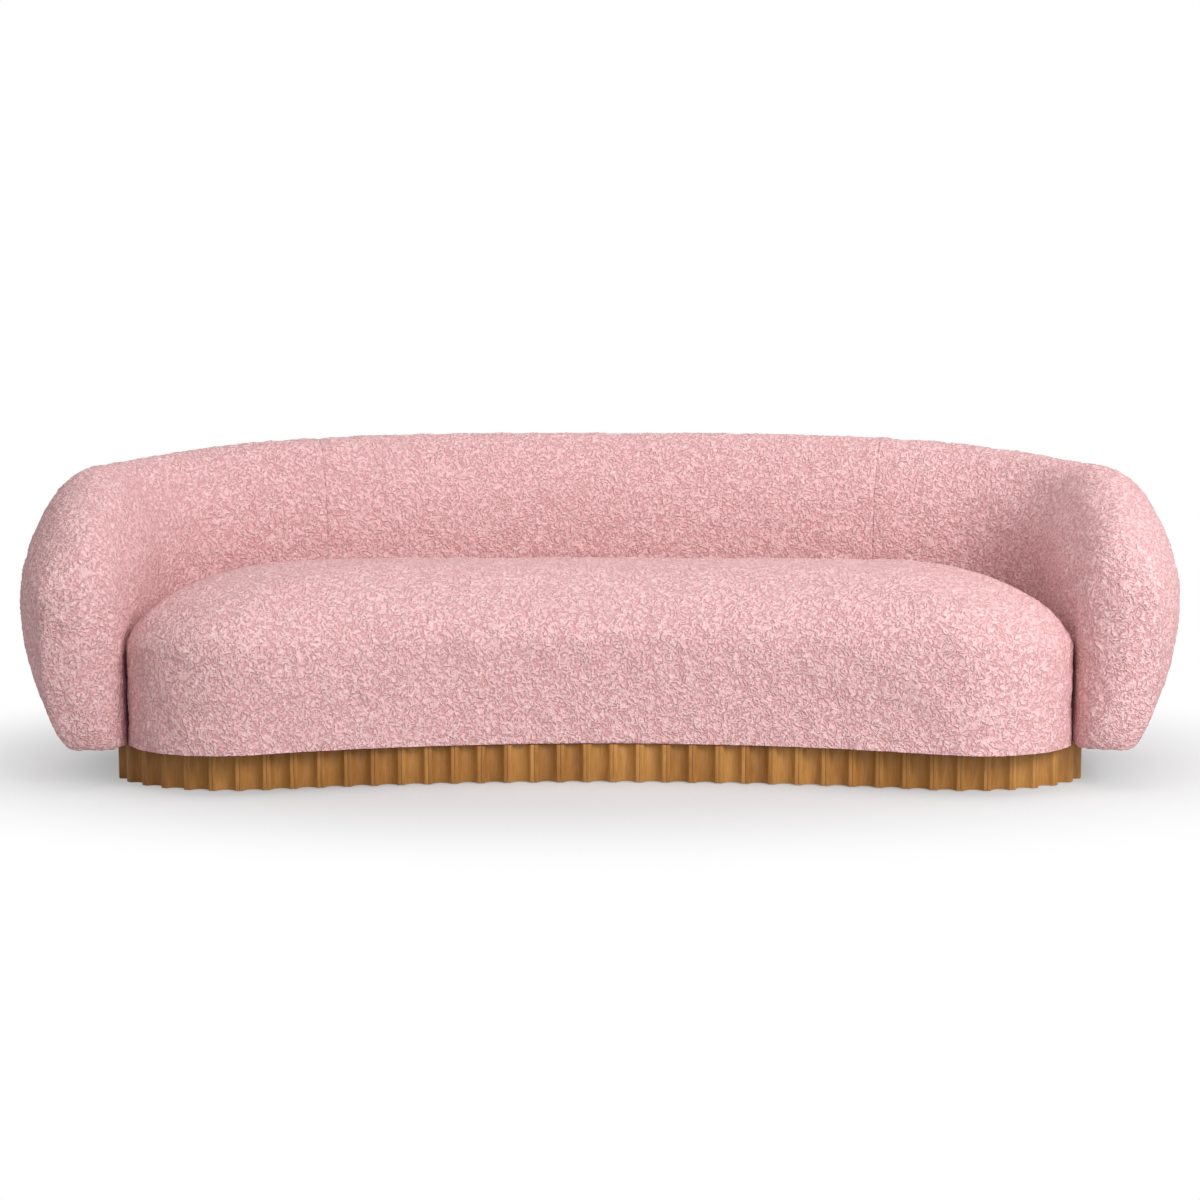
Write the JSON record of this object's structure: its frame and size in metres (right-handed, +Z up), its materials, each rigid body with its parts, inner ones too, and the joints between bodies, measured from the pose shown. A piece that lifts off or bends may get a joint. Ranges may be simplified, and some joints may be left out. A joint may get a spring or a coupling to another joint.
{
  "type": "sofa",
  "caption": "Curved low sofa with one rolled back and arms around a tight crowned seat, on a fluted timber plinth.",
  "frame": {"origin": "on the floor, under the middle of the sofa's overall box", "axes": "+X to the right seen from the front, +Y towards the back (the open front faces -Y), +Z up"},
  "size_m": [2.4, 1.0852, 0.688],
  "materials": {
    "stave_wood": "oiled solid oak-like wood, satin, upright grain",
    "glide_nylon": "black nylon glide",
    "zinc_steel": "bright zinc-plated steel",
    "plinth_panel": "sanded birch plywood",
    "plywood": "birch plywood, unfinished",
    "beech": "kiln-dried beech, unfinished",
    "webbing": "woven elastic webbing",
    "felt": "needled cotton felt",
    "foam": "cut upholstery foam",
    "dust_cloth": "black non-woven lining",
    "boucle": "pink looped boucle cloth"
  },
  "bodies": {
    "root": {"back_crest_rail": "plywood", "back_formers": "plywood", "back_inner_foam": "foam", "back_lumbar_rail": "plywood", "back_outer_pad": "foam", "back_outer_skin": "plywood", "back_straps": "webbing", "deck_board": "plywood", "dust_cover": "dust_cloth", "front_seat_rail": "beech", "inner_back_cover_centre": "boucle", "inner_back_cover_left": "boucle", "inner_back_cover_right": "boucle", "left_arm_cover": "boucle", "left_arm_foam": "foam", "left_arm_formers": "plywood", "left_arm_spine": "plywood", "left_seat_rail": "beech", "outer_back_cover": "boucle", "plinth_bolts": "zinc_steel", "plinth_bottom_board": "plinth_panel", "plinth_cross_ribs": "plinth_panel", "plinth_front_staves": "stave_wood", "plinth_front_wall": "plinth_panel", "plinth_glides": "glide_nylon", "plinth_left_staves": "stave_wood", "plinth_left_wall": "plinth_panel", "plinth_rear_staves": "stave_wood", "plinth_rear_wall": "plinth_panel", "plinth_right_staves": "stave_wood", "plinth_right_wall": "plinth_panel", "plinth_top_board": "plinth_panel", "plinth_washers": "zinc_steel", "rear_seat_rail": "beech", "right_arm_cover": "boucle", "right_arm_foam": "foam", "right_arm_formers": "plywood", "right_arm_spine": "plywood", "right_seat_rail": "beech", "seat_cover": "boucle", "seat_cross_rails": "beech", "seat_felt": "felt", "seat_foam": "foam", "seat_webbing_front_to_rear": "webbing", "seat_webbing_side_to_side": "webbing", "tee_nuts": "zinc_steel"}
  },
  "joints": []
}
